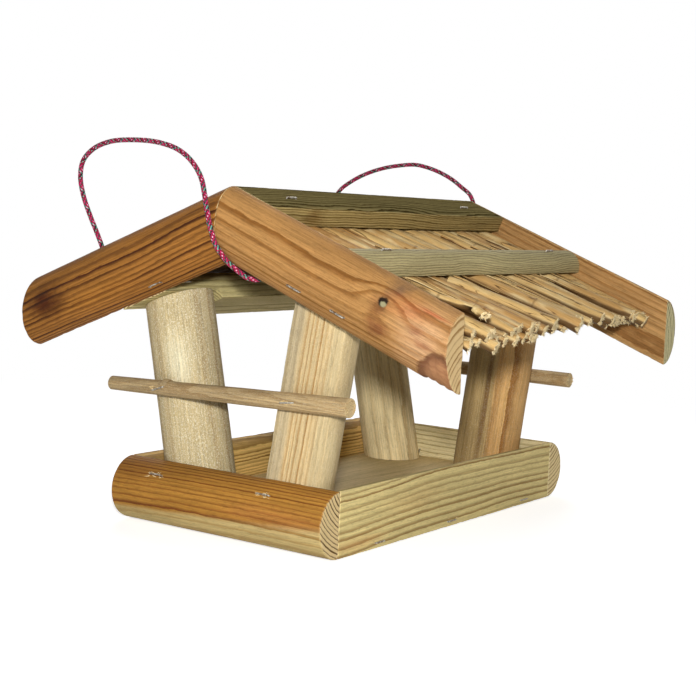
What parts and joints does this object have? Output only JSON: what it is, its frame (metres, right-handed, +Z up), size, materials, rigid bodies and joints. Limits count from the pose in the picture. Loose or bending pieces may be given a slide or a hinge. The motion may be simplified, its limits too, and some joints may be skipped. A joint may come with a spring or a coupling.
{
  "type": "bird table",
  "caption": "Gabled bird table of round and half-round timber, with a rimmed tray, leaning posts, perches, a reed roof under battens and cord loops to hang it by.",
  "frame": {"origin": "centre of the tray's underside, on the surface the table stands on", "axes": "+X across the gables to the pictured right, +Y along the ridge away from the near gable, +Z up"},
  "size_m": [0.4, 0.3968, 0.2982],
  "materials": {
    "tray_floor": "sawn softwood, matt",
    "end_rail": "planed and turned softwood, matt",
    "side_rail": "planed softwood with a green treatment tint, matt",
    "post": "peeled poles with a green treatment tint, matt",
    "rafter": "turned softwood, matt",
    "purlin": "treated half-round timber, matt",
    "reed": "dry reed stems",
    "batten": "treated battens, matt",
    "perch": "round sticks, matt",
    "cord": "braided cord",
    "staple": "zinc coated wire"
  },
  "bodies": {
    "root": {"tray_floor": "tray_floor", "rail_front": "end_rail", "rail_back": "end_rail", "rail_left": "side_rail", "rail_right": "side_rail", "post_front_left": "post", "post_front_right": "post", "post_back_left": "post", "post_back_right": "post", "rafter_front_left": "rafter", "rafter_front_right": "rafter", "rafter_back_left": "rafter", "rafter_back_right": "rafter", "purlin_left": "purlin", "purlin_right": "purlin", "thatch_left": "reed", "thatch_right": "reed", "ridge_batten_left": "batten", "ridge_batten_right": "batten", "middle_batten_left": "batten", "middle_batten_right": "batten", "perch_front": "perch", "perch_back": "perch", "cord_front": "cord", "cord_back": "cord", "staple_foot_front_left": "staple", "staple_foot_front_right": "staple", "staple_foot_back_left": "staple", "staple_foot_back_right": "staple", "staple_floor_left_1": "staple", "staple_floor_left_2": "staple", "staple_floor_left_3": "staple", "staple_floor_right_1": "staple", "staple_floor_right_2": "staple", "staple_floor_right_3": "staple", "staple_perch_front_left": "staple", "staple_perch_front_right": "staple", "staple_perch_back_left": "staple", "staple_perch_back_right": "staple", "staple_rafter_front_left": "staple", "staple_rafter_front_right_1": "staple", "staple_rafter_front_right_2": "staple", "staple_rafter_back_left": "staple", "staple_rafter_back_right_1": "staple", "staple_rafter_back_right_2": "staple", "staple_ridge_left_front": "staple", "staple_ridge_left_back": "staple", "staple_ridge_right_front": "staple", "staple_ridge_right_back": "staple", "staple_middle_left_front": "staple", "staple_middle_left_back": "staple", "staple_middle_right_front": "staple", "staple_middle_right_back": "staple", "staple_cord_front_ridge": "staple", "staple_cord_front_rafter": "staple", "staple_cord_back_ridge": "staple", "staple_cord_back_rafter": "staple"}
  },
  "joints": []
}
